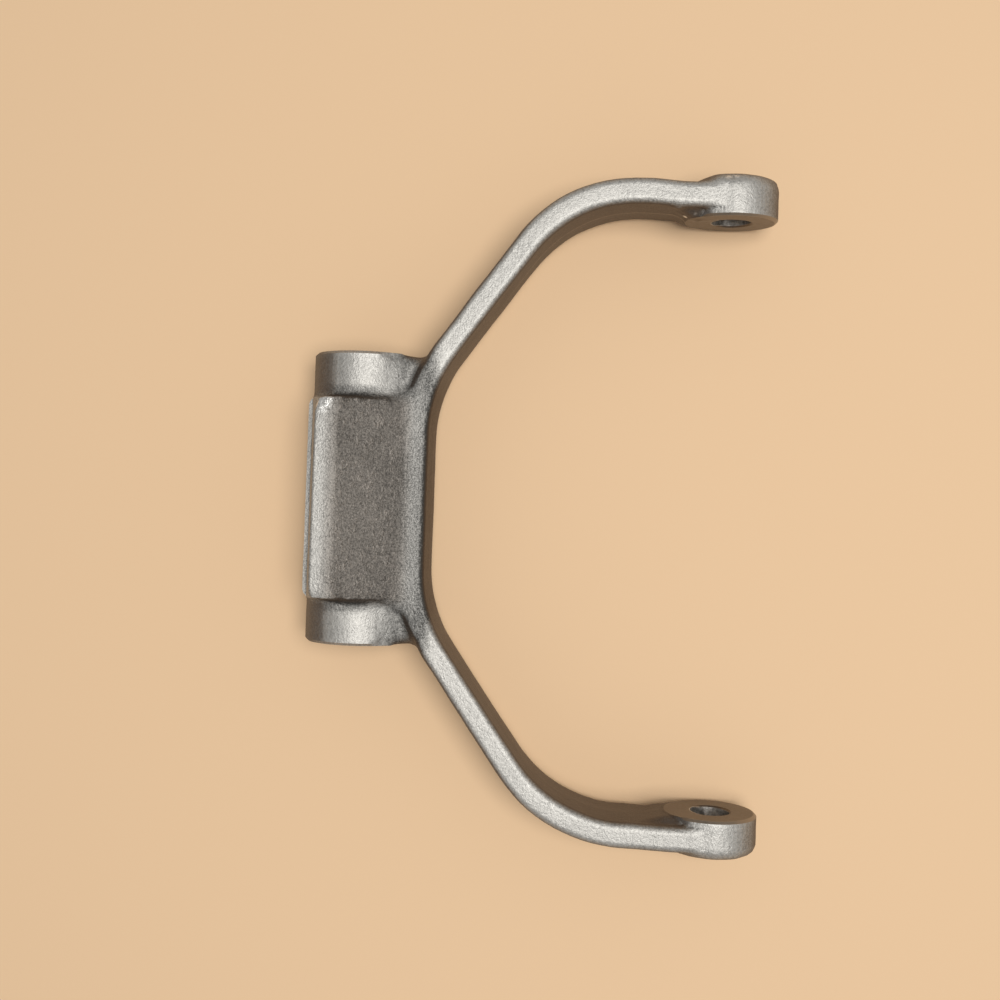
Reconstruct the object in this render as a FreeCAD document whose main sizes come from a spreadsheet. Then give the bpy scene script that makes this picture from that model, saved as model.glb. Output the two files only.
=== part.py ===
import FreeCAD, Part
import math
import os

import Sketcher

# A cast shift fork: a hub that grips a cross shaft, a flat web beside it, two arms that
# spread from the web and bend parallel, and an eye for a pivot pin at the end of each arm.
# Frame: origin on the hub axis at the middle of the hub, Y along the hub axis, X towards
# the eyes, Z square to the plane in which the mould parts. Lengths are in millimetres.

DOCUMENT_NAME = "shift_fork"

SIZES = [
    ("hub_diameter", 32.0, "outside of the hub"),
    ("hub_length", 88.0, "hub over its machined ends"),
    ("hub_bore", 20.0, "plain bore for the cross shaft"),
    ("hub_bore_chamfer", 1.0, "lead-in at each end of the hub bore"),
    ("hub_end_chamfer", 0.8, "chamfer on the hub's ends"),
    ("web_stand", 5.3, "hub's skin to the open side of the web"),
    ("root_inset", 11.6, "hub's end to where the lines of the web and the arm cross, on the open side"),
    ("saddle_setback", 0.8, "how far the saddle stops short of the hub's end"),
    ("saddle_cover", 0.8, "web left beyond the saddle's far edge, which is buried in it"),
    ("root_bend", 38.0, "inner radius where the web turns into the arm"),
    ("arm_angle", 55.0, "slope of the arm from the X axis, in degrees"),
    ("arm_thickness", 8.4, "web and arm seen in plan, at the parting plane"),
    ("arm_inset", 2.4, "how far the arm's edges lie inside the hub's skin, above and below"),
    ("arm_edge_round", 2.3, "rounding along the arm's long edges"),
    ("arm_draft", 1.5, "draft of the arm's sides, in degrees"),
    ("tip_bend", 39.0, "inner radius where the arm turns parallel to X"),
    ("eye_reach", 110.0, "hub axis to eye axis"),
    ("eye_rise", 0.4, "how far the eye's skin stands over the arm's edges"),
    ("eye_gap", 178.6, "between the machined inner faces of the eyes"),
    ("eye_bore", 12.0, "plain bore for the pivot pin"),
    ("eye_bore_chamfer", 0.5, "lead-in at each end of the eye bore"),
    ("eye_outer_chamfer", 1.8, "chamfer on the eye's outer edge"),
    ("eye_face_chamfer", 0.7, "break of the edge round the eye's machined face"),
    ("eye_step", 2.0, "how far the eye's machined face stands in from the arm's inner face"),
    ("eye_outer_step", 1.5, "how far the eye stands out from the arm's outer face"),
    ("block_length", 60.6, "back block along the hub axis, at the parting plane"),
    ("block_stand", 0.7, "hub's skin to the block's back, at the parting plane"),
    ("block_end_draft", 5.0, "draft of the block's ends, in degrees"),
    ("ridge_rise", 7.3, "hub's crown to the top of the ridge"),
    ("ridge_inset", 5.4, "how far the ridge's back edge lies in from the block's back"),
    ("ridge_round", 5.0, "rounding between the ridge and the slope"),
    ("slope_angle", 26.0, "slope from the ridge down to the web, in degrees"),
    ("slope_stand", 2.6, "how far the slope's plane stands over the hub's skin"),
    ("slope_cover", 3.0, "how far the slope runs on inside the web"),
    ("saddle_angle", 32.0, "slope of the saddle from the hub's skin down to the web, in degrees"),
    ("saddle_sink", 0.1, "how far the saddle lies inside the hub's skin where they meet"),
    ("foot_sink", 0.5, "how far the block's flat underside lies inside the hub's skin"),
    ("foot_inset", 3.6, "how far the underside's back edge lies in from the block's back"),
    ("block_cove", 2.0, "concave radius where the block's ends meet the hub"),
    ("block_edge_round", 0.9, "rounding of the block's edges"),
    ("lip_width", 1.0, "trimmed parting lip round the block's back"),
    ("lip_thickness", 1.6, "parting lip along Z"),
    ("lip_corner", 3.2, "corner radius of the parting lip in plan"),
    ("valley_round", 2.0, "concave radius along the foot of the web"),
    ("neck_round", 1.0, "concave radius where an arm's inner side meets its eye"),
]

# What follows from the sizes, in the order in which one needs the other.
DERIVED = [
    ("web_front", "=hub_diameter / 2 + web_stand", "hub axis to the open side of the web"),
    ("root_height", "=hub_length / 2 - root_inset", "hub's middle to where the two lines cross"),
    ("saddle_reach", "=web_front - saddle_cover", "hub axis to the saddle's far edge"),
    ("arm_depth", "=hub_diameter - 2 * arm_inset", "web and arm along Z"),
    ("eye_diameter", "=arm_depth + 2 * eye_rise", "outside of the eye"),
    ("eye_thickness", "=eye_step + arm_thickness + eye_outer_step", "eye along its own axis"),
    ("block_reach", "=web_front - arm_thickness + slope_cover", "hub axis to the block's front, buried in the web"),
    ("lip_root", "=hub_diameter * 3 / 8", "hub axis to the parting lip's near edge, buried in the block"),
    ("block_back", "=hub_diameter / 2 + block_stand", "hub axis to the block's back"),
    ("ridge_height", "=hub_diameter / 2 + ridge_rise", "parting plane to the top of the ridge"),
    ("ridge_back", "=block_back - ridge_inset", "hub axis to the back edge of the ridge"),
    ("foot_drop", "=hub_diameter / 2 - foot_sink", "parting plane to the flat underside"),
    ("foot_back", "=block_back - foot_inset", "hub axis to the back edge of the underside"),
]

START, END, CENTRE = range(1, 4)    # a sketch's own numbers for a piece's ends and centre
AXES = -START                       # its number for the level axis, which starts at the origin
FLAT = 0.01         # how near a point or a normal has to be to count as on a plane
OVERLAP = 2.0       # how far halves and parts run into each other before they are joined
CLEAR = 10.0        # how far a cut runs past what it cuts
COVE_DIP = 0.2      # the cove starts this far under the hub's skin, so that it cuts it cleanly

document = FreeCAD.newDocument(DOCUMENT_NAME)
sheet = document.addObject("Spreadsheet::Sheet", "sizes")
for row, (alias, value, note) in enumerate(SIZES + DERIVED, start=1):
    sheet.set("A%d" % row, alias)
    sheet.set("B%d" % row, str(value))
    sheet.set("C%d" % row, note)
    sheet.setAlias("B%d" % row, alias)
document.recompute()


def size(alias):
    """The number in the sheet's cell of that name."""
    return float(sheet.get(alias))


def bind(target, prop, formula):
    """Ties a property or a constraint to a formula in the sheet's names."""
    target.setExpression(prop, formula)


def new_body(name):
    body = document.addObject("PartDesign::Body", name)
    document.recompute()
    return body


def origin_feature(body, role):
    return next(item for item in body.Origin.OriginFeatures if item.Role == role)


def new_sketch(body, name, role):
    """A sketch on one of the body's own origin planes."""
    sketch = body.newObject("Sketcher::SketchObject", name)
    sketch.AttachmentSupport = [(origin_feature(body, role), "")]
    sketch.MapMode = "FlatFace"
    document.recompute()
    return sketch


class Outline:
    """A closed run of lines and arcs in a sketch, with each end joined to the next."""

    def __init__(self, sketch):
        self.sketch = sketch
        self.pieces = []

    def line(self, start, end):
        segment = Part.LineSegment(FreeCAD.Vector(*start, 0), FreeCAD.Vector(*end, 0))
        index = self.sketch.addGeometry(segment, False)
        self.pieces.append((index, START, END))
        return index

    def arc(self, start, end, centre, turns_left):
        """An arc from start to end; turns_left says which way it bends."""
        begin, finish = (start, end) if turns_left else (end, start)
        radius = math.dist(start, centre)
        first = math.atan2(begin[1] - centre[1], begin[0] - centre[0])
        last = math.atan2(finish[1] - centre[1], finish[0] - centre[0])
        circle = Part.Circle(FreeCAD.Vector(*centre, 0), FreeCAD.Vector(0, 0, 1), radius)
        index = self.sketch.addGeometry(Part.ArcOfCircle(circle, first, last), False)
        self.pieces.append((index, START, END) if turns_left else (index, END, START))
        return index

    def close(self, tangent_joints):
        """Joins each piece to the next; the named pairs are joined smoothly."""
        for place, (index, _, tail) in enumerate(self.pieces):
            following, head, _ = self.pieces[(place + 1) % len(self.pieces)]
            kind = "Tangent" if (index, following) in tangent_joints else "Coincident"
            self.sketch.addConstraint(Sketcher.Constraint(kind, index, tail, following, head))

    def fix(self, kind, *where_and_value, formula=None):
        """Adds a constraint, tied to a formula if one is given."""
        number = self.sketch.addConstraint(Sketcher.Constraint(kind, *where_and_value))
        if formula is not None:
            bind(self.sketch, "Constraints[%d]" % number, formula)
        return number

    def place(self, index, end, point, formulas):
        """Holds one end of a piece at a point, each coordinate tied to its formula."""
        for kind, value, formula in zip(("DistanceX", "DistanceY"), point, formulas):
            if formula is None:
                continue
            self.fix(kind, AXES, START, index, end, value, formula=formula)

    def mark(self, point, index, formulas):
        """A construction point at named coordinates that a piece has to pass through."""
        spot = self.sketch.addGeometry(Part.Point(FreeCAD.Vector(*point, 0)), True)
        self.fix("PointOnObject", spot, START, index)
        self.place(spot, START, point, formulas)


def edges_where(shape, test):
    """Names of the edges whose middle point passes the test."""
    names = []
    for number, edge in enumerate(shape.Edges, start=1):
        if test(edge.valueAt((edge.FirstParameter + edge.LastParameter) / 2)):
            names.append("Edge%d" % number)
    return names


def faces_where(shape, test):
    """Names of the faces whose middle point and normal pass the test."""
    names = []
    for number, face in enumerate(shape.Faces, start=1):
        low_u, high_u, low_v, high_v = face.ParameterRange
        normal = face.normalAt((low_u + high_u) / 2, (low_v + high_v) / 2)
        if test(face.CenterOfMass, normal):
            names.append("Face%d" % number)
    return names


def mirror_body(body, name, role):
    """Adds the mirror image of the whole body across one of its origin planes."""
    mirror = body.newObject("PartDesign::Mirrored", name)
    mirror.TransformMode = "Whole shape"
    mirror.MirrorPlane = (origin_feature(body, role), [""])
    body.Tip = mirror
    document.recompute()
    return mirror


def dress(body, kind, name, base, test, prop, formula):
    """A fillet or chamfer on the edges of base that pass the test."""
    feature = body.newObject(kind, name)
    feature.Base = (base, edges_where(base.Shape, test))
    bind(feature, prop, formula)
    document.recompute()
    return feature


def build_yoke():
    """The web and one arm as a drafted strip with rounded edges, mirrored down and across."""
    body = new_body("yoke")
    sketch = new_sketch(body, "arm_plan", "XY_Plane")
    slope = math.radians(size("arm_angle"))
    front, root, reach = size("web_front"), size("root_height"), size("eye_reach")
    thick, root_bend, tip_bend = size("arm_thickness"), size("root_bend"), size("tip_bend")
    inner = size("eye_gap") / 2 + size("eye_step")
    root_run = root_bend * math.tan((math.pi / 2 - slope) / 2)
    tip_run = tip_bend * math.tan(slope / 2)
    tip_x = front + (inner - root) / math.tan(slope)
    root_centre = (front + root_bend, root - root_run)
    tip_centre = (tip_x + tip_run, inner - tip_bend)

    def off(centre, radius):
        """The point where the sloping stretch touches an arc about centre."""
        return (centre[0] - radius * math.sin(slope), centre[1] + radius * math.cos(slope))

    back_high, back_low = (front - thick, root_centre[1]), (front - thick, -OVERLAP)
    front_high, front_low = (front, root_centre[1]), (front, -OVERLAP)
    outer_root, outer_bend = off(root_centre, root_bend + thick), off(tip_centre, tip_bend + thick)
    inner_root, inner_bend = off(root_centre, root_bend), off(tip_centre, tip_bend)
    outer_end, inner_end = (tip_centre[0], inner + thick), (tip_centre[0], inner)
    tip_high, tip_low = (reach, inner + thick), (reach, inner)

    run = Outline(sketch)
    back_line = run.line(back_low, back_high)
    back_arc = run.arc(back_high, outer_root, root_centre, False)
    outer_line = run.line(outer_root, outer_bend)
    outer_arc = run.arc(outer_bend, outer_end, tip_centre, False)
    outer_tip = run.line(outer_end, tip_high)
    end_line = run.line(tip_high, tip_low)
    inner_tip = run.line(tip_low, inner_end)
    inner_arc = run.arc(inner_end, inner_bend, tip_centre, True)
    inner_line = run.line(inner_bend, inner_root)
    root_arc = run.arc(inner_root, front_high, root_centre, True)
    front_line = run.line(front_high, front_low)
    base_line = run.line(front_low, back_low)
    run.close({
        (back_line, back_arc), (back_arc, outer_line), (outer_line, outer_arc),
        (outer_arc, outer_tip), (inner_tip, inner_arc), (inner_arc, inner_line),
        (inner_line, root_arc), (root_arc, front_line),
    })
    for index in (back_line, front_line, end_line):
        run.fix("Vertical", index)
    for index in (outer_tip, inner_tip, base_line):
        run.fix("Horizontal", index)
    run.fix("Angle", outer_line, slope, formula="sizes.arm_angle")
    run.fix("Coincident", back_arc, CENTRE, root_arc, CENTRE)
    run.fix("Coincident", outer_arc, CENTRE, inner_arc, CENTRE)
    run.fix("Radius", root_arc, root_bend, formula="sizes.root_bend")
    run.fix("Radius", inner_arc, tip_bend, formula="sizes.tip_bend")
    run.fix("Radius", back_arc, root_bend + thick, formula="sizes.root_bend + sizes.arm_thickness")
    run.fix("Radius", outer_arc, tip_bend + thick, formula="sizes.tip_bend + sizes.arm_thickness")
    run.place(front_line, END, front_low, ("sizes.web_front", "%g" % -OVERLAP))
    run.place(end_line, END, tip_low, ("sizes.eye_reach", "sizes.eye_gap / 2 + sizes.eye_step"))
    run.mark((front, root), inner_line, ("sizes.web_front", "sizes.root_height"))

    pad = body.newObject("PartDesign::Pad", "arm_pad")
    pad.Profile = sketch
    bind(pad, "Length", "sizes.arm_depth / 2")
    document.recompute()

    def between_ends(middle):
        return middle.y > FLAT - OVERLAP and middle.x < reach - FLAT

    def side(middle, normal):
        return abs(normal.z) < FLAT and between_ends(middle)

    draft = body.newObject("PartDesign::Draft", "arm_draft")
    draft.Base = (pad, faces_where(pad.Shape, side))
    draft.NeutralPlane = (origin_feature(body, "XY_Plane"), [""])
    bind(draft, "Angle", "sizes.arm_draft")
    document.recompute()
    half_depth = size("arm_depth") / 2

    def long_edge(middle):
        return abs(middle.z - half_depth) < FLAT and between_ends(middle)

    dress(body, "PartDesign::Fillet", "arm_edges", draft, long_edge, "Radius", "sizes.arm_edge_round")
    mirror_body(body, "lower_half", "XY_Plane")
    mirror_body(body, "other_arm", "XZ_Plane")
    return body


def build_block():
    """The raised block on the hub's back: a ridge, a slope down to the web and a flat foot."""
    body = new_body("block")
    tilt = math.radians(size("slope_angle"))
    radius = size("hub_diameter") / 2
    skin = radius + size("slope_stand")
    ridge, back, foot = size("ridge_height"), size("block_back"), size("foot_drop")
    reach, bend = size("block_reach"), size("ridge_round")
    bend_run = bend * math.tan(tilt / 2)
    crest_x = (skin - ridge * math.cos(tilt)) / math.sin(tilt)
    crown_start = (crest_x - bend_run, ridge)
    crown_end = (crest_x + bend_run * math.cos(tilt), ridge - bend_run * math.sin(tilt))
    back_corner, ridge_corner = (-back, 0.0), (-size("ridge_back"), ridge)
    slope_end = (reach, (skin - reach * math.sin(tilt)) / math.cos(tilt))
    heel, foot_corner = (0.0, -foot), (-size("foot_back"), -foot)
    buried = (reach, -foot / 3)

    section = Outline(new_sketch(body, "block_section", "XZ_Plane"))
    back_line = section.line(back_corner, ridge_corner)
    ridge_line = section.line(ridge_corner, crown_start)
    crown = section.arc(crown_start, crown_end, (crown_start[0], ridge - bend), False)
    slope_line = section.line(crown_end, slope_end)
    drop_line = section.line(slope_end, buried)
    inside_line = section.line(buried, heel)
    foot_line = section.line(heel, foot_corner)
    under_line = section.line(foot_corner, back_corner)
    section.close({(ridge_line, crown), (crown, slope_line)})
    section.fix("Horizontal", ridge_line)
    section.fix("Horizontal", foot_line)
    section.fix("Vertical", drop_line)
    section.fix("Radius", crown, bend, formula="sizes.ridge_round")
    section.fix("Angle", slope_line, -tilt, formula="-sizes.slope_angle")
    section.fix("Distance", AXES, START, slope_line, skin, formula="sizes.hub_diameter / 2 + sizes.slope_stand")
    section.place(back_line, START, back_corner, ("-sizes.block_back", "0"))
    section.place(back_line, END, ridge_corner, ("-sizes.ridge_back", "sizes.ridge_height"))
    section.place(inside_line, START, buried, ("sizes.block_reach", "-sizes.foot_drop / 3"))
    section.place(foot_line, START, heel, ("0", "-sizes.foot_drop"))
    section.place(under_line, START, foot_corner, ("-sizes.foot_back", None))

    pad = body.newObject("PartDesign::Pad", "block_pad")
    pad.Profile = section.sketch
    pad.SideType = "Symmetric"
    bind(pad, "Length", "sizes.block_length + 2 * sizes.block_cove + %g" % OVERLAP)
    document.recompute()

    cove, lean = size("block_cove"), math.radians(size("block_end_draft"))
    bed, half = radius - COVE_DIP, size("block_length") / 2
    cove_y = half + cove * math.cos(lean) - (bed + cove - cove * math.sin(lean) - radius) * math.tan(lean)
    touch = (cove_y - cove * math.cos(lean), bed + cove - cove * math.sin(lean))
    top, far, deep = ridge + CLEAR, half + CLEAR, radius / 2
    wall_top = (touch[0] - (top - touch[1]) * math.tan(lean), top)
    end_cut = Outline(new_sketch(body, "block_end", "YZ_Plane"))
    cove_arc = end_cut.arc(touch, (cove_y, bed), (cove_y, bed + cove), True)
    foot_wall = end_cut.line((cove_y, bed), (cove_y, deep))
    floor = end_cut.line((cove_y, deep), (far, deep))
    far_wall = end_cut.line((far, deep), (far, top))
    roof = end_cut.line((far, top), wall_top)
    wall = end_cut.line(wall_top, touch)
    end_cut.close({(wall, cove_arc)})
    end_cut.fix("Vertical", foot_wall)
    end_cut.fix("Vertical", far_wall)
    end_cut.fix("Horizontal", floor)
    end_cut.fix("Horizontal", roof)
    end_cut.fix("Vertical", cove_arc, CENTRE, foot_wall, START)
    end_cut.fix("Radius", cove_arc, cove, formula="sizes.block_cove")
    end_cut.fix("Angle", wall, lean - math.pi / 2, formula="sizes.block_end_draft - 90")
    end_cut.place(foot_wall, START, (cove_y, bed), (None, "sizes.hub_diameter / 2 - %g" % COVE_DIP))
    end_cut.place(floor, END, (far, deep), (
        "sizes.block_length / 2 + %g" % CLEAR,
        "sizes.hub_diameter / 4",
    ))
    end_cut.place(roof, START, (far, top), (None, "sizes.ridge_height + %g" % CLEAR))
    end_cut.mark((half, radius), wall, ("sizes.block_length / 2", "sizes.hub_diameter / 2"))

    groove = body.newObject("PartDesign::Groove", "block_end_cut")
    groove.Profile = end_cut.sketch
    groove.ReferenceAxis = (origin_feature(body, "Y_Axis"), [""])
    document.recompute()
    other_end = body.newObject("PartDesign::Mirrored", "other_block_end")
    other_end.Originals = [groove]
    other_end.MirrorPlane = (origin_feature(body, "XZ_Plane"), [""])
    body.Tip = other_end
    document.recompute()

    def raised_edge(middle):
        """The ridge's edges, the edges of the sloping back and of the two ends above the hub."""
        over_ridge = abs(middle.z - ridge) < FLAT and middle.x < crown_start[0] - FLAT
        clear_of_hub = math.hypot(middle.x, middle.z) > radius + cove
        at_end = abs(middle.y) > half - cove and abs(middle.y) < half + FLAT
        return over_ridge or (at_end and clear_of_hub and middle.z > 0)

    dress(body, "PartDesign::Fillet", "block_edges", other_end, raised_edge,
          "Radius", "sizes.block_edge_round")

    lip_x, lip_y, corner = back + size("lip_width"), half + size("lip_width"), size("lip_corner")
    inner_x = -size("lip_root")
    lip = Outline(new_sketch(body, "lip_plan", "XY_Plane"))
    low_run = lip.line((inner_x, -lip_y), (corner - lip_x, -lip_y))
    low_corner = lip.arc((corner - lip_x, -lip_y), (-lip_x, corner - lip_y),
                         (corner - lip_x, corner - lip_y), False)
    long_run = lip.line((-lip_x, corner - lip_y), (-lip_x, lip_y - corner))
    high_corner = lip.arc((-lip_x, lip_y - corner), (corner - lip_x, lip_y),
                          (corner - lip_x, lip_y - corner), False)
    high_run = lip.line((corner - lip_x, lip_y), (inner_x, lip_y))
    closing = lip.line((inner_x, lip_y), (inner_x, -lip_y))
    lip.close({
        (low_run, low_corner), (low_corner, long_run), (long_run, high_corner), (high_corner, high_run),
    })
    lip.fix("Horizontal", low_run)
    lip.fix("Horizontal", high_run)
    lip.fix("Vertical", long_run)
    lip.fix("Vertical", closing)
    lip.fix("Equal", low_corner, high_corner)
    lip.fix("Radius", low_corner, corner, formula="sizes.lip_corner")
    lip.place(long_run, START, (-lip_x, corner - lip_y), ("-sizes.block_back - sizes.lip_width", None))
    lip.place(closing, START, (inner_x, lip_y), (
        "-sizes.lip_root", "sizes.block_length / 2 + sizes.lip_width"))
    lip.place(closing, END, (inner_x, -lip_y), (None, "-sizes.block_length / 2 - sizes.lip_width"))
    lip_pad = body.newObject("PartDesign::Pad", "parting_lip")
    lip_pad.Profile = lip.sketch
    lip_pad.SideType = "Symmetric"
    bind(lip_pad, "Length", "sizes.lip_thickness")
    document.recompute()
    return body


def build_hub():
    """The turned hub barrel and the saddle that carries its flanks down to the web."""
    body = new_body("hub")
    radius, half, bevel = size("hub_diameter") / 2, size("hub_length") / 2, size("hub_end_chamfer")
    barrel = Outline(new_sketch(body, "hub_profile", "XY_Plane"))
    axis_line = barrel.line((0.0, half), (0.0, -half))
    low_end = barrel.line((0.0, -half), (radius - bevel, -half))
    low_bevel = barrel.line((radius - bevel, -half), (radius, bevel - half))
    skin_line = barrel.line((radius, bevel - half), (radius, half - bevel))
    barrel.line((radius, half - bevel), (radius - bevel, half))
    high_end = barrel.line((radius - bevel, half), (0.0, half))
    barrel.close(set())
    barrel.fix("Vertical", axis_line)
    barrel.fix("Vertical", skin_line)
    barrel.fix("Horizontal", low_end)
    barrel.fix("Horizontal", high_end)
    barrel.fix("Vertical", low_bevel, START, high_end, START)
    barrel.place(axis_line, START, (0.0, half), ("0", "sizes.hub_length / 2"))
    barrel.place(low_end, START, (0.0, -half), (None, "-sizes.hub_length / 2"))
    barrel.place(low_end, END, (radius - bevel, -half), ("sizes.hub_diameter / 2 - sizes.hub_end_chamfer", None))
    barrel.place(skin_line, START, (radius, bevel - half), (
        "sizes.hub_diameter / 2", "sizes.hub_end_chamfer - sizes.hub_length / 2"))
    barrel.place(skin_line, END, (radius, half - bevel), (None, "sizes.hub_length / 2 - sizes.hub_end_chamfer"))
    turned = body.newObject("PartDesign::Revolution", "hub_barrel")
    turned.Profile = barrel.sketch
    turned.ReferenceAxis = (origin_feature(body, "Y_Axis"), [""])
    document.recompute()

    tilt, reach = math.radians(size("saddle_angle")), size("saddle_reach")
    skin = radius - size("saddle_sink")
    start = (skin * math.sin(tilt), skin * math.cos(tilt))
    drop = (skin - reach * math.sin(tilt)) / math.cos(tilt)
    saddle = Outline(new_sketch(body, "saddle_section", "XZ_Plane"))
    upper = saddle.line(start, (reach, drop))
    saddle.line((reach, drop), (reach, -drop))
    lower = saddle.line((reach, -drop), (start[0], -start[1]))
    saddle.line((start[0], -start[1]), start)
    saddle.close(set())
    saddle.fix("Angle", upper, -tilt, formula="-sizes.saddle_angle")
    saddle.fix("Symmetric", upper, END, lower, START, AXES)
    saddle.place(upper, START, start, (
        "(sizes.hub_diameter / 2 - sizes.saddle_sink) * sin(sizes.saddle_angle)",
        "(sizes.hub_diameter / 2 - sizes.saddle_sink) * cos(sizes.saddle_angle)",
    ))
    saddle.place(upper, END, (reach, drop), ("sizes.saddle_reach", None))
    saddle.fix("Symmetric", upper, START, lower, END, AXES)
    saddle_pad = body.newObject("PartDesign::Pad", "saddle_pad")
    saddle_pad.Profile = saddle.sketch
    saddle_pad.SideType = "Symmetric"
    bind(saddle_pad, "Length", "sizes.hub_length - 2 * sizes.saddle_setback")
    document.recompute()
    return body


def build_eyes():
    """The two eyes: short turned bosses on one axis parallel to the hub."""
    body = new_body("eyes")
    reach, radius = size("eye_reach"), size("eye_diameter") / 2
    near = size("eye_gap") / 2
    far = near + size("eye_thickness")
    bevel, outer_bevel = size("eye_face_chamfer"), size("eye_outer_chamfer")
    edge = reach + radius
    profile = Outline(new_sketch(body, "eye_profile", "XY_Plane"))
    face_line = profile.line((reach, near), (edge - bevel, near))
    profile.line((edge - bevel, near), (edge, near + bevel))
    skin_line = profile.line((edge, near + bevel), (edge, far - outer_bevel))
    profile.line((edge, far - outer_bevel), (edge - outer_bevel, far))
    outer_line = profile.line((edge - outer_bevel, far), (reach, far))
    axis_line = profile.line((reach, far), (reach, near))
    profile.close(set())
    profile.fix("Horizontal", face_line)
    profile.fix("Horizontal", outer_line)
    profile.fix("Vertical", skin_line)
    profile.fix("Vertical", axis_line)
    profile.place(face_line, START, (reach, near), ("sizes.eye_reach", "sizes.eye_gap / 2"))
    profile.place(face_line, END, (edge - bevel, near), (
        "sizes.eye_reach + sizes.eye_diameter / 2 - sizes.eye_face_chamfer", None))
    profile.place(skin_line, START, (edge, near + bevel), (
        "sizes.eye_reach + sizes.eye_diameter / 2",
        "sizes.eye_gap / 2 + sizes.eye_face_chamfer",
    ))
    profile.place(skin_line, END, (edge, far - outer_bevel), (
        None, "sizes.eye_gap / 2 + sizes.eye_thickness - sizes.eye_outer_chamfer"))
    profile.place(outer_line, START, (edge - outer_bevel, far), (
        "sizes.eye_reach + sizes.eye_diameter / 2 - sizes.eye_outer_chamfer",
        "sizes.eye_gap / 2 + sizes.eye_thickness",
    ))
    turned = body.newObject("PartDesign::Revolution", "eye_boss")
    turned.Profile = profile.sketch
    turned.ReferenceAxis = (profile.sketch, ["Edge%d" % (axis_line + 1)])
    document.recompute()
    mirror_body(body, "other_eye", "XZ_Plane")
    return body


def join(bodies):
    """One solid of all the bodies."""
    fuse = document.addObject("Part::MultiFuse", "casting")
    fuse.Shapes = bodies
    fuse.Refine = True
    document.recompute()
    return fuse


def bore(body, name, centre_x, radius_formula, centre_formula):
    """A round hole right through the body, parallel to the hub's axis."""
    sketch = new_sketch(body, name + "_circle", "XZ_Plane")
    circle = sketch.addGeometry(
        Part.Circle(FreeCAD.Vector(centre_x, 0, 0), FreeCAD.Vector(0, 0, 1), 1.0), False)
    radius = sketch.addConstraint(Sketcher.Constraint("Radius", circle, 1.0))
    bind(sketch, "Constraints[%d]" % radius, radius_formula)
    if centre_formula is None:
        sketch.addConstraint(Sketcher.Constraint("Coincident", circle, CENTRE, AXES, START))
    else:
        place = sketch.addConstraint(Sketcher.Constraint("DistanceX", AXES, START, circle, CENTRE, centre_x))
        bind(sketch, "Constraints[%d]" % place, centre_formula)
        sketch.addConstraint(Sketcher.Constraint("PointOnObject", circle, CENTRE, AXES))
    pocket = body.newObject("PartDesign::Pocket", name)
    pocket.Profile = sketch
    pocket.SideType = "Symmetric"
    pocket.Type = "ThroughAll"
    document.recompute()
    return pocket


def finish(casting):
    """The casting's fillets, then what is machined: the bores and their chamfers."""
    body = new_body("fork")
    body.BaseFeature = casting
    document.recompute()
    base = body.Tip
    tilt, skin = math.radians(size("saddle_angle")), size("hub_diameter") / 2 - size("saddle_sink")
    back, reach = size("web_front") - size("arm_thickness"), size("eye_reach")
    lean = math.tan(math.radians(size("arm_draft")))
    valley_z = (skin - back * math.sin(tilt)) / (math.cos(tilt) + lean * math.sin(tilt))
    eye_radius, inner = size("eye_diameter") / 2, size("eye_gap") / 2 + size("eye_step")

    def valley(middle):
        on_web = abs(middle.x - back - valley_z * lean) < FLAT
        return on_web and abs(middle.y) < FLAT and abs(abs(middle.z) - valley_z) < FLAT

    def neck(middle):
        on_eye = abs(math.hypot(middle.x - reach, middle.z) - eye_radius) < FLAT
        to_crown = inner - FLAT < abs(middle.y) < inner + size("arm_thickness") / 2 + FLAT
        return on_eye and to_crown and middle.x < reach

    cast = dress(body, "PartDesign::Fillet", "web_valley", base, valley, "Radius", "sizes.valley_round")
    dress(body, "PartDesign::Fillet", "eye_necks", cast, neck, "Radius", "sizes.neck_round")
    bore(body, "hub_hole", 0.0, "sizes.hub_bore / 2", None)
    holes = bore(body, "eye_holes", reach, "sizes.eye_bore / 2", "sizes.eye_reach")
    hub_end, eye_near = size("hub_length") / 2, size("eye_gap") / 2
    eye_far = eye_near + size("eye_thickness")

    def hub_rim(middle):
        on_bore = abs(math.hypot(middle.x, middle.z) - size("hub_bore") / 2) < FLAT
        return on_bore and abs(abs(middle.y) - hub_end) < FLAT

    def eye_rim(middle):
        on_bore = abs(math.hypot(middle.x - reach, middle.z) - size("eye_bore") / 2) < FLAT
        at_face = min(abs(abs(middle.y) - eye_near), abs(abs(middle.y) - eye_far)) < FLAT
        return on_bore and at_face

    chamfered = dress(body, "PartDesign::Chamfer", "hub_mouths", holes, hub_rim,
                      "Size", "sizes.hub_bore_chamfer")
    dress(body, "PartDesign::Chamfer", "eye_mouths", chamfered, eye_rim,
          "Size", "sizes.eye_bore_chamfer")
    return body


def check(body):
    """Stops before anything is written if a feature failed or the casting isn't one sound solid."""
    for item in document.Objects:
        if "Invalid" in item.State or "Error" in item.State:
            raise RuntimeError("%s did not build" % item.Name)
        shape = getattr(item, "Shape", None)
        if shape is not None and item.TypeId.startswith("PartDesign") and shape.isNull():
            raise RuntimeError("%s is empty" % item.Name)
    if not body.Shape.isValid() or len(body.Shape.Solids) != 1:
        raise RuntimeError("%s is not one sound solid" % body.Name)


def main():
    fork = finish(join([build_yoke(), build_block(), build_hub(), build_eyes()]))
    check(fork)
    os.makedirs("parts", exist_ok=True)
    fork.Shape.exportStep("parts/%s.step" % fork.Label)


main()
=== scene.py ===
import math

import bmesh
import bpy
from mathutils import Euler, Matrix, Vector, noise as lumps


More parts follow.
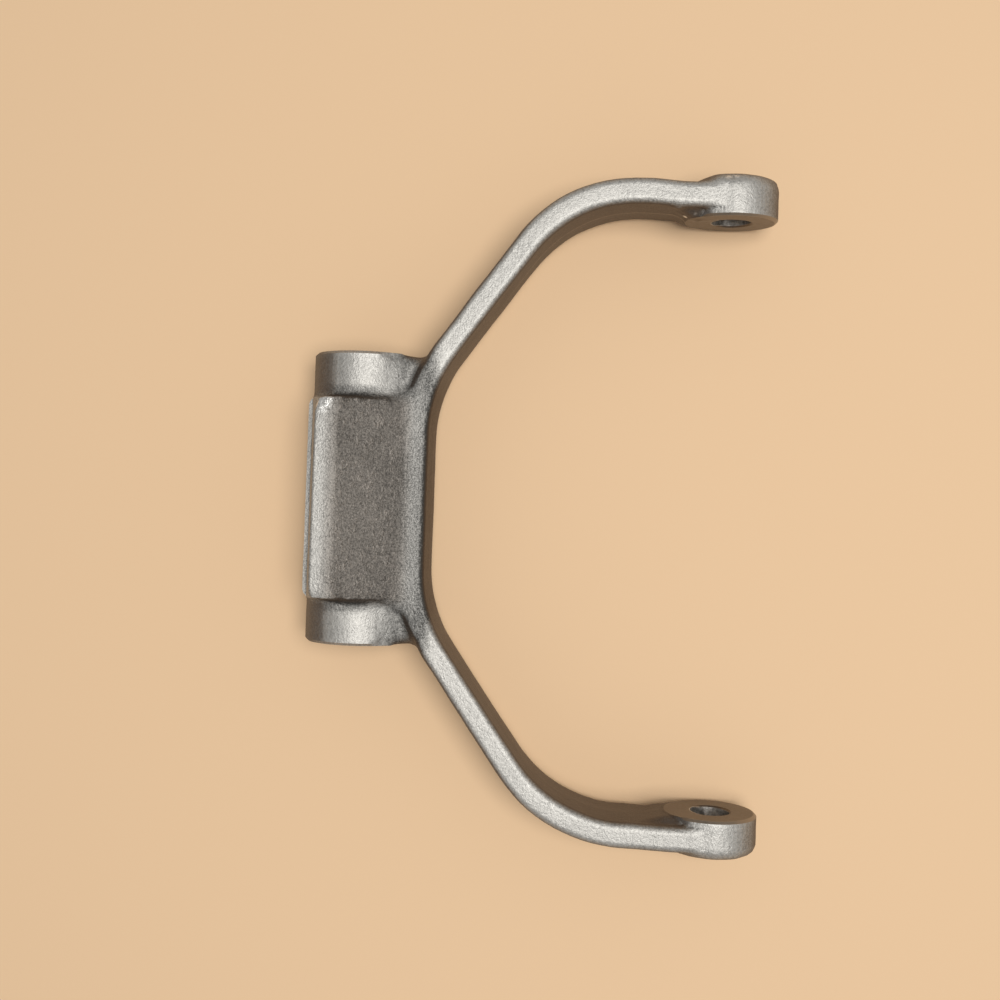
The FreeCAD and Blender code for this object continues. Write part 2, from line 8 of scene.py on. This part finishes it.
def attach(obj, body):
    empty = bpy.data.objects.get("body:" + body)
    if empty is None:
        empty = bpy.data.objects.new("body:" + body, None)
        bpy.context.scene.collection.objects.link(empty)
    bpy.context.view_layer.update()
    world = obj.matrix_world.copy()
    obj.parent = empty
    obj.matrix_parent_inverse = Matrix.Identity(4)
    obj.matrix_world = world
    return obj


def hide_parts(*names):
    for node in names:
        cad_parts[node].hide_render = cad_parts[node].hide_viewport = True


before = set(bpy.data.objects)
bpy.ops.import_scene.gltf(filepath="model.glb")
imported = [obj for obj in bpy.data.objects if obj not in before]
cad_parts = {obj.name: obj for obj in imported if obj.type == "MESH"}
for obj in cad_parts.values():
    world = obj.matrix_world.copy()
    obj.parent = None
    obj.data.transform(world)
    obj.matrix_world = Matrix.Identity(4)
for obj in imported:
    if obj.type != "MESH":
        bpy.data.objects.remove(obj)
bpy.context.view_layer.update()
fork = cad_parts["fork"]

MM = 0.001
RESTS_AT = -16.0 * MM

# Places on the casting, in millimetres, as the drawing has them.
EYE_AXIS = 110.0
EYE_FACE = 89.3
EYE_BACK = 101.2
HUB_END = 44.0


def ramp(value, low, high):
    """Smoothly from 0 at low to 1 at high."""
    part = min(max((value - low) / (high - low), 0.0), 1.0)
    return part * part * (3.0 - 2.0 * part)


# The casting's own unevenness, worked into a finer copy of its mesh.

# How far the upper and the lower arm lie off the drawing, at places along them.
ARM_SET = (
    (20.0, 0.0, 0.0),
    (32.0, 0.3, -0.5),
    (46.0, -0.1, -0.5),
    (62.0, -0.2, -0.9),
    (84.0, -0.45, -1.3),
    (97.0, -1.05, -1.75),
)


def set_out(point):
    """The arms of this casting lie a little off the middle, and the upper one is twisted."""
    x, y, z = point
    upper = y > 0.0
    side = 1.0 if upper else -1.0
    swell = ramp(x, 92.0 if upper else 87.0, 97.5) * (1.0 - ramp(x, 100.0, 108.0))
    swell *= 1.0 - ramp(abs(z), 8.0, 11.0)
    if EYE_FACE + 0.02 < abs(y) < EYE_FACE + 4.0 and x > 80.0:
        kept = max(abs(y) - 2.0 * swell, EYE_FACE + 0.05)
        y = side * min(abs(y), kept)
    if upper:
        y += 1.0 * ramp(x, 98.0, 105.0) * ramp(abs(y), 97.5, 99.7)
        y -= 0.045 * z * ramp(x, 55.0, 92.0)
    for (near_x, *near_set), (far_x, *far_set) in zip(ARM_SET, ARM_SET[1:]):
        part = ramp(x, near_x, far_x)
        pick = 0 if upper else 1
        y += (far_set[pick] - near_set[pick]) * part
    if not upper:
        y += 0.3 * ramp(abs(y), 34.0, 44.0) * (1.0 - ramp(x, 12.0, 20.0))
    x += 0.2 * ramp(-x, 12.0, 16.0) + 0.13 * ramp(x, 14.0, 22.0)
    if abs(y) < 31.5 and 1.0 < z < 24.0 and x < -11.0:
        back = -16.5 + 0.21 * (z - 1.0)
        x += 0.85 * max(back - x, 0.0)
    return Vector((x, y, z))


# Each lump or dent: its middle after set_out, its radius and how far it stands out.
MARKS = (
    ((97.8, 89.6, 8.6), 1.7, 0.9),
    ((95.6, 89.4, 5.8), 1.3, 1.1),
    ((99.6, 88.9, 4.4), 1.5, 0.7),
    ((93.0, 91.0, 10.6), 1.8, 0.5),
    ((107.4, 99.8, 13.3), 1.2, -0.75),
    ((109.8, 99.6, 13.4), 1.2, -0.45),
    ((108.7, 99.2, 13.8), 0.7, 0.35),
    ((16.6, 42.4, 12.6), 1.8, -0.8),
    ((14.6, 42.9, 11.8), 1.2, 0.5),
    ((18.4, -43.0, 12.4), 2.2, -0.4),
    ((-12.6, 30.0, 22.6), 3.0, -1.5),
    ((-12.4, -30.2, 22.4), 2.0, -0.8),
    ((-8.6, 28.9, 22.4), 1.2, 0.35),
    ((6.2, -28.9, 15.2), 1.5, -0.7),
    ((3.4, -29.6, 15.8), 1.0, 0.5),
    ((24.2, -32.0, 5.2), 0.6, -0.5),
    ((-18.4, 26.5, 3.0), 1.6, -0.4),
    ((-18.4, -22.0, 4.0), 1.4, -0.3),
)


def is_cut(point, normal):
    """True on the bores, the eyes' inner faces and the hub's ends, which are cut and not cast."""
    x, y, z = point
    if math.hypot(x - EYE_AXIS, z) < 6.7 and abs(y) > EYE_FACE - 1.0:
        return True
    if math.hypot(x, z) < 11.2:
        return True
    if math.hypot(x - EYE_AXIS, z) < 14.2 and abs(y) < EYE_FACE + 0.72:
        return True
    return abs(normal.y) > 0.9 and abs(abs(y) - HUB_END) < 0.3 and math.hypot(x, z) < 17.0


def fill_valley(work):
    """Metal fills the valley between the hub's flank and the foot of each arm."""
    for vert in work.verts:
        x, y, z = vert.co / MM
        if 30.0 < abs(y) < HUB_END + 0.2 and 8.0 < x < 17.0 and 4.0 < z < 13.3:
            lift = 1.2 * math.exp(-(((x - 12.6) / 2.3) ** 2)) * ramp(z, 4.0, 8.5)
            lift *= ramp(abs(y), 30.0, 34.0)
            vert.co.z = min(z + lift, 13.3) * MM


def soften(work, inside, turns):
    """Rounds the edges of one place, as the shot does."""
    chosen = [vert for vert in work.verts if inside(*(vert.co / MM))]
    for _ in range(turns):
        bmesh.ops.smooth_vert(
            work, verts=chosen, factor=0.5, use_axis_x=True, use_axis_y=True, use_axis_z=True
        )


def block_end(x, y, z):
    return 28.2 < abs(y) < 34.6 and -17.0 < x < 13.0 and z > 6.0


def slope_end(x, y, z):
    return 26.5 < abs(y) < 36.0 and -3.0 < x < 15.0 and z > 6.0


def valley(x, y, z):
    return 28.0 < abs(y) < 43.3 and 8.5 < x < 20.5 and z > 2.0


def slope_foot(x, y, z):
    return abs(y) < 34.0 and 10.5 < x < 17.5 and z > 6.0


def web_edge(x, y, z):
    return abs(y) < 38.0 and 17.6 < x < 21.6 and z > 8.0


def neck_end(x, y, z):
    return EYE_FACE + 0.9 < abs(y) < EYE_FACE + 3.6 and 98.0 < x < 106.5 and z > 10.0


def crown_step(x, y, z):
    return EYE_FACE + 2.6 < abs(y) < EYE_BACK - 2.2 and 98.0 < x < 109.0 and abs(z) > 10.0


def eye_edge(x, y, z):
    return abs(y) > EYE_BACK - 2.6 and x > 96.0 and math.hypot(x - EYE_AXIS, z) > 11.0


def root_corner(x, y, z):
    return 40.0 < abs(y) < 48.0 and 12.0 < x < 21.0


# Each place whose edges are rounded, in order, and how many turns it takes.
SOFTENED = (
    (block_end, 8),
    (slope_end, 24),
    (valley, 36),
    (slope_foot, 14),
    (web_edge, 8),
    (neck_end, 10),
    (crown_step, 16),
    (eye_edge, 3),
    (root_corner, 6),
)
SHARP_FROM = math.radians(32.0)


def work_mesh():
    """The CAD's mesh made finer, softened, set out and marked, with a shading value at each vertex."""
    work = bmesh.new()
    work.from_mesh(fork.data)
    bmesh.ops.remove_doubles(work, verts=work.verts, dist=0.002 * MM)
    for longest in (16.0, 8.0, 4.0, 2.0):
        long_edges = [edge for edge in work.edges if edge.calc_length() > longest * MM]
        bmesh.ops.subdivide_edges(work, edges=long_edges, cuts=1)
        bmesh.ops.triangulate(work, faces=work.faces)
    for face in work.faces:
        face.smooth = True
        face.material_index = 1 if is_cut(face.calc_center_median() / MM, face.normal) else 0
    fill_valley(work)
    for inside, turns in SOFTENED:
        soften(work, inside, turns)
    work.normal_update()
    turn = work.verts.layers.float.new("edge_turn")
    moves = []
    for vert in work.verts:
        angles = [edge.calc_face_angle_signed(0.0) for edge in vert.link_edges]
        vert[turn] = min(max(sum(angles) / len(angles) * 4.0, -1.0), 1.0)
        cast = all(face.material_index == 0 for face in vert.link_faces)
        point = set_out(vert.co / MM)
        stand = -0.33 * ramp(point.x, 21.0, 28.0) * (1.0 - ramp(point.x, 42.0, 56.0))
        if cast:
            stand += 0.10 * lumps.noise(point / 9.0) + 0.05 * lumps.noise(point / 3.1)
        for middle, radius, height in MARKS:
            away = (point - Vector(middle)).length / radius
            if away < 2.5:
                stand += height * math.exp(-away * away)
        moves.append((vert, point, stand))
    normals = [vert.normal.copy() for vert in work.verts]
    for (vert, point, stand), normal in zip(moves, normals):
        vert.co = (point + normal * stand) * MM
    work.normal_update()
    for edge in work.edges:
        edge.smooth = edge.calc_face_angle(0.0) < SHARP_FROM
    mesh = bpy.data.meshes.new("worked_fork")
    work.to_mesh(mesh)
    work.free()
    return mesh


# Shader maths.


class Wire:
    """A shader socket that can be added, multiplied and so on like a number."""

    def __init__(self, tree, socket):
        self.tree = tree
        self.socket = socket

    def _math(self, operation, *others):
        return node(self.tree, "ShaderNodeMath", {"operation": operation}, self, *others)

    def __add__(self, other):
        return self._math("ADD", other)

    def __sub__(self, other):
        return self._math("SUBTRACT", other)

    def __mul__(self, other):
        return self._math("MULTIPLY", other)

    def __rsub__(self, other):
        return node(self.tree, "ShaderNodeMath", {"operation": "SUBTRACT"}, other, self)

    __radd__ = __add__
    __rmul__ = __mul__

    def size(self):
        return self._math("ABSOLUTE")

    def power(self, other):
        return self._math("POWER", other)

    def most(self, other):
        return self._math("MAXIMUM", other)

    def between(self, low, high, to_low=0.0, to_high=1.0):
        """Smoothly from to_low at low to to_high at high."""
        settings = {"interpolation_type": "SMOOTHSTEP"}
        return node(self.tree, "ShaderNodeMapRange", settings, self, low, high, to_low, to_high)


def put(tree, target, value):
    if isinstance(value, Wire):
        tree.links.new(value.socket, target)
    elif hasattr(target.default_value, "__len__"):
        width = len(target.default_value)
        target.default_value = (tuple(value) + (1.0,) * width)[:width]
    else:
        target.default_value = value


def node(tree, kind, settings, *inputs, out=0, named=None):
    """A node with its settings first, then its inputs in order, then any inputs by name."""
    made = tree.nodes.new(kind)
    for key, value in settings.items():
        setattr(made, key, value)
    for place, value in enumerate(inputs):
        if value is not None:
            put(tree, made.inputs[place], value)
    for key, value in (named or {}).items():
        put(tree, made.inputs[key], value)
    return Wire(tree, made.outputs[out])


def mix(tree, factor, low, high):
    """A colour between two colours."""
    made = tree.nodes.new("ShaderNodeMix")
    made.data_type = "RGBA"
    put(tree, made.inputs[0], factor)
    put(tree, made.inputs[6], low)
    put(tree, made.inputs[7], high)
    return Wire(tree, made.outputs[2])


def noise(tree, place, scale, detail=2.0, rough=0.5, seed=0.0):
    """Smooth noise from 0 to 1; scale is in lumps for each metre."""
    settings = {"noise_dimensions": "4D"}
    named = {"Vector": place, "W": seed, "Scale": scale, "Detail": detail, "Roughness": rough}
    return node(tree, "ShaderNodeTexNoise", settings, named=named)


def near(tree, place, spots):
    """1 at the middle of any of the spots, given in millimetres, and 0 past its radius."""
    found = None
    for middle, radius in spots:
        point = tuple(part * MM for part in middle)
        settings = {"operation": "DISTANCE"}
        away = node(tree, "ShaderNodeVectorMath", settings, place, point, out="Value")
        spot = away.between(radius * 0.4 * MM, radius * MM, 1.0, 0.0)
        found = spot if found is None else found.most(spot)
    return found


# The blasted skin of the casting.

# Bright spots on nicks, burrs and corners: partly bare metal where the skin is knocked off, partly painted
# glints.
BRIGHT_SPOTS = (
    ((107.3, 99.6, 13.0), 1.6),
    ((109.6, 99.4, 13.2), 1.2),
    ((95.5, 88.6, 6.2), 1.0),
    ((98.2, 89.2, 9.0), 1.1),
    ((16.0, 42.7, 12.2), 2.6),
    ((-9.2, 27.3, 22.8), 3.4),
    ((-6.6, 28.6, 22.4), 1.3),
    ((3.2, -29.7, 16.4), 0.9),
)
DARK_PITS = (
    ((24.2, -32.0, 5.2), 0.7),
    ((22.9, 30.0, 5.0), 0.45),
    ((6.0, -29.0, 15.0), 1.2),
    ((94.4, 91.0, 8.4), 0.9),
)


def start_material(name):
    material = bpy.data.materials.new(name)
    material.use_nodes = True
    material.node_tree.nodes.clear()
    return material, material.node_tree


def split(tree, value):
    axes = tree.nodes.new("ShaderNodeSeparateXYZ")
    put(tree, axes.inputs[0], value)
    return [Wire(tree, axes.outputs[i]) for i in range(3)]


def finish_skin(tree, colour, metallic, rough, height, strength, distance):
    named = {"Strength": strength, "Distance": distance, "Height": height}
    bump = node(tree, "ShaderNodeBump", {}, named=named)
    named = {"Base Color": colour, "Metallic": metallic, "Roughness": rough, "Normal": bump}
    shader = node(tree, "ShaderNodeBsdfPrincipled", {}, named=named)
    out = tree.nodes.new("ShaderNodeOutputMaterial")
    tree.links.new(shader.socket, out.inputs["Surface"])


def cast_skin():
    material, tree = start_material("cast_skin")
    place = node(tree, "ShaderNodeTexCoord", {}, out="Object")
    facing = node(tree, "ShaderNodeTexCoord", {}, out="Normal")
    turn = node(tree, "ShaderNodeAttribute", {"attribute_name": "edge_turn"}, out="Fac")
    x, y, z = split(tree, place)
    nx, _, nz = split(tree, facing)

    # the grain: fine speckle, small lumps, swells, and short worms drawn out along the hub
    speck = noise(tree, place, 2200.0, 2.0, 0.6, 1.0)
    grain = noise(tree, place, 1100.0, 3.0, 0.65, 2.0)
    swell = noise(tree, place, 170.0, 3.0, 0.55, 3.0)
    cloud = noise(tree, place, 38.0, 3.0, 0.55, 4.0)
    drawn = node(tree, "ShaderNodeVectorMath", {"operation": "MULTIPLY"}, place, (1.0, 0.45, 1.0))
    worm = (noise(tree, drawn, 760.0, 2.0, 0.55, 5.0) - 0.5).size().between(0.0, 0.06, 1.0, 0.0)
    worm = worm * noise(tree, place, 330.0, 2.0, 0.5, 6.0).between(0.40, 0.62)

    # the block's slope is rougher than the rest and painted darker, partly as its darker rough skin and
    # partly as painted shade; the web beside it is painted darker as painted shade
    on_block = y.size().between(0.0285, 0.0325, 1.0, 0.0)
    slope = on_block * x.between(-0.0095, -0.0035) * x.between(0.0125, 0.0175, 1.0, 0.0)
    slope = slope * z.between(0.006, 0.010)
    web = x.between(0.0065, 0.0135) * x.between(0.0215, 0.0260, 1.0, 0.0)
    web = web * y.size().between(0.036, 0.056, 1.0, 0.0).most(x.between(0.0135, 0.0165, 0.62, 0.0))
    web = web * (1.0 - slope)
    # painted shade in the coves at the block's ends
    cove_shade = y.size().between(0.0298, 0.0312) * y.size().between(0.0325, 0.0350, 1.0, 0.0)
    cove_shade = cove_shade * x.between(-0.0125, -0.0060) * x.between(0.0030, 0.0100, 1.0, 0.0) * z.between(0.004, 0.008)
    ridge = on_block * x.between(-0.0075, -0.0045, 1.0, 0.0)
    tone = 1.0 - slope * 0.60 - web * 0.48 - ridge * 0.12 - cove_shade * 0.40
    tone = tone + worm * (slope * 0.16 + 0.08)
    # painted highlight along convex edges and painted shade in hollows and creases, both from edge_turn; no
    # hollow shade at the web's foot
    at_foot = x.between(0.008, 0.010) * x.between(0.021, 0.023, 1.0, 0.0)
    hollow_shade = turn.between(-0.55, -0.10, 1.0, 0.0) * (1.0 - at_foot)
    tone = tone + turn.between(0.12, 0.75) * 0.12 - hollow_shade * 0.24
    # random cloudy tone, and painted shade on surfaces the more they tilt away from level
    tone = tone - cloud.between(0.35, 0.75) * 0.10 - nz.size().between(0.62, 0.96, 1.0, 0.0) * 0.26
    speckle = speck.between(0.34, 0.66) * 0.6 + grain.between(0.34, 0.66) * 0.4 - 0.5
    # painted shade where the web rounds over into its wall
    brow_shade = x.between(0.0178, 0.0208) * x.between(0.0225, 0.0245, 1.0, 0.0)
    tone = tone - brow_shade * y.size().between(0.034, 0.048, 1.0, 0.0) * 0.22
    tone = (tone + speckle * (0.56 - slope * 0.16)).most(0.14)

    # painted shade: the walls, the hub's back flank and the eyes' necks are painted dark brown, standing in
    # for shade with a painted reflection of the tan floor
    at_back = y.size().between(0.0300, 0.0320) * nx.between(-0.60, -0.40, 1.0, 0.0)
    lip = x.between(-0.0100, -0.0080, 1.0, 0.0) * y.size().between(0.0300, 0.0310, 1.0, 0.0)
    off_lip = 1.0 - lip
    neck = x.between(0.084, 0.090) * x.between(0.0990, 0.1020, 1.0, 0.0)
    neck = neck * y.size().between(0.0930, 0.0940, 1.0, 0.0) * z.between(0.0105, 0.0125, 1.0, 0.0)
    steep_wall_shade = (nz.size().between(0.28, 0.84, 1.0, 0.0) * off_lip).most(at_back * 0.8).most(neck)
    light = (0.51, 0.497, 0.468, 1.0)
    black = (0.0, 0.0, 0.0, 1.0)
    warm = (0.52, 0.475, 0.425, 1.0)
    wall_shade_brown = (0.086, 0.060, 0.042, 1.0)
    colour = mix(tree, tone, black, mix(tree, slope, light, warm))
    colour = mix(tree, steep_wall_shade * 0.86, colour, wall_shade_brown)
    inside = x.between(0.040, 0.050) * y.between(0.050, 0.070) * y.between(0.0935, 0.0955, 1.0, 0.0)
    seam = z.size().between(0.00020, 0.00060, 1.0, 0.0) * steep_wall_shade * x.between(0.020, 0.026)
    seam = seam * (inside * 0.50 + 0.12) * grain.between(0.36, 0.58)
    colour = mix(tree, seam, colour, (0.36, 0.30, 0.24, 1.0))
    # the bright spots, partly bare metal and partly painted glints
    bright = near(tree, place, BRIGHT_SPOTS) * grain.between(0.36, 0.54)
    colour = mix(tree, bright * 0.75, colour, (0.90, 0.89, 0.86, 1.0))
    colour = mix(tree, near(tree, place, DARK_PITS) * 0.85, colour, (0.03, 0.025, 0.02, 1.0))

    rough = 0.55 + (grain - 0.5) * 0.30 + slope * 0.08 - bright * 0.20
    height = speck * 0.45 + grain * 0.95 + swell * 0.8 + worm * (slope * 0.5 + 0.2)
    finish_skin(tree, colour, 0.80, rough, height, 0.9, 0.00020)
    return material


def cut_skin():
    """The bores and faces that a tool has cut, dulled again by the shot."""
    material, tree = start_material("cut_skin")
    place = node(tree, "ShaderNodeTexCoord", {}, out="Object")
    facing = node(tree, "ShaderNodeTexCoord", {}, out="Normal")
    turn = node(tree, "ShaderNodeAttribute", {"attribute_name": "edge_turn"}, out="Fac")
    x, y, z = split(tree, place)
    ny = split(tree, facing)[1]
    eye_away = ((x - 0.110) * (x - 0.110) + z * z).power(0.5)
    grain = noise(tree, place, 900.0, 3.0, 0.6, 8.0)
    cloud = noise(tree, place, 90.0, 2.0, 0.5, 9.0)
    flat = ny.size().between(0.30, 0.60) * eye_away.between(0.0060, 0.0062)
    # painted highlight: a lighter line along the convex rim of each eye's inner face
    rim_highlight = eye_away.between(0.0128, 0.0134) * turn.between(0.20, 0.80) * x.between(0.098, 0.104)
    patch = grain.between(0.36, 0.64) * 0.6 + cloud.between(0.3, 0.7) * 0.4
    # the cut faces are painted dark brown: painted shade on these upright faces with a painted reflection of
    # the tan floor
    face = mix(tree, patch, (0.105, 0.080, 0.060, 1.0), (0.150, 0.116, 0.088, 1.0))
    face = mix(tree, rim_highlight * 0.6, face, (0.42, 0.36, 0.29, 1.0))
    bore = mix(tree, patch, (0.20, 0.19, 0.175, 1.0), (0.60, 0.58, 0.55, 1.0))
    rough = 0.42 + (grain - 0.5) * 0.3
    finish_skin(tree, mix(tree, flat, bore, face), 0.85, rough, grain + cloud, 0.5, 0.00010)
    return material


worked = bpy.data.objects.new("worked_fork", work_mesh())
bpy.context.collection.objects.link(worked)
worked.data.materials.append(cast_skin())
worked.data.materials.append(cut_skin())
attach(worked, "root")
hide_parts("fork")


# Floor, light and camera.

FLOOR_HALF = 4.0
FLOOR_COLOUR = (0.80, 0.56, 0.345)
CAMERA_AT = (58.9, -0.3, 376.2)
CAMERA_TURN = (0.325, 2.467, 2.131)
CAMERA_LENS = 44.04


def plain(name, colour, roughness):
    material = bpy.data.materials.new(name)
    material.use_nodes = True
    shader = material.node_tree.nodes["Principled BSDF"]
    shader.inputs["Base Color"].default_value = (*colour, 1.0)
    shader.inputs["Roughness"].default_value = roughness
    return material


def add_floor():
    bm = bmesh.new()
    bmesh.ops.create_grid(bm, x_segments=1, y_segments=1, size=FLOOR_HALF)
    bmesh.ops.translate(bm, verts=bm.verts, vec=(0.0, 0.0, RESTS_AT))
    mesh = bpy.data.meshes.new("floor")
    bm.to_mesh(mesh)
    bm.free()
    floor = bpy.data.objects.new("floor", mesh)
    bpy.context.collection.objects.link(floor)
    mesh.materials.append(plain("floor", FLOOR_COLOUR, 0.9))


def add_lamp(name, place, aim, width, power, colour):
    data = bpy.data.lights.new(name, "AREA")
    data.shape = "DISK"
    data.size = width
    data.energy = power
    data.color = colour
    lamp = bpy.data.objects.new(name, data)
    lamp.location = place
    lamp.rotation_euler = (Vector(aim) - Vector(place)).to_track_quat("-Z", "Y").to_euler()
    bpy.context.collection.objects.link(lamp)


def add_world(strength, colour):
    world = bpy.data.worlds.new("studio")
    world.use_nodes = True
    background = world.node_tree.nodes["Background"]
    background.inputs["Color"].default_value = (*colour, 1.0)
    background.inputs["Strength"].default_value = strength
    bpy.context.scene.world = world


def add_camera():
    data = bpy.data.cameras.new("camera")
    data.sensor_width = 36.0
    data.lens = CAMERA_LENS
    data.clip_start = 0.01
    camera = bpy.data.objects.new("camera", data)
    camera.location = Vector(CAMERA_AT) * MM
    turned = [math.radians(angle) for angle in CAMERA_TURN]
    camera.rotation_euler = Euler(turned, "XYZ")
    bpy.context.collection.objects.link(camera)
    bpy.context.scene.camera = camera


add_floor()
add_lamp("overhead", (0.27, 0.0, 1.20), (0.04, 0.0, 0.0), 0.60, 11.5, (1.0, 0.985, 0.96))
add_world(0.30, (1.0, 0.99, 0.98))
add_camera()
bpy.context.scene.view_settings.view_transform = "Standard"
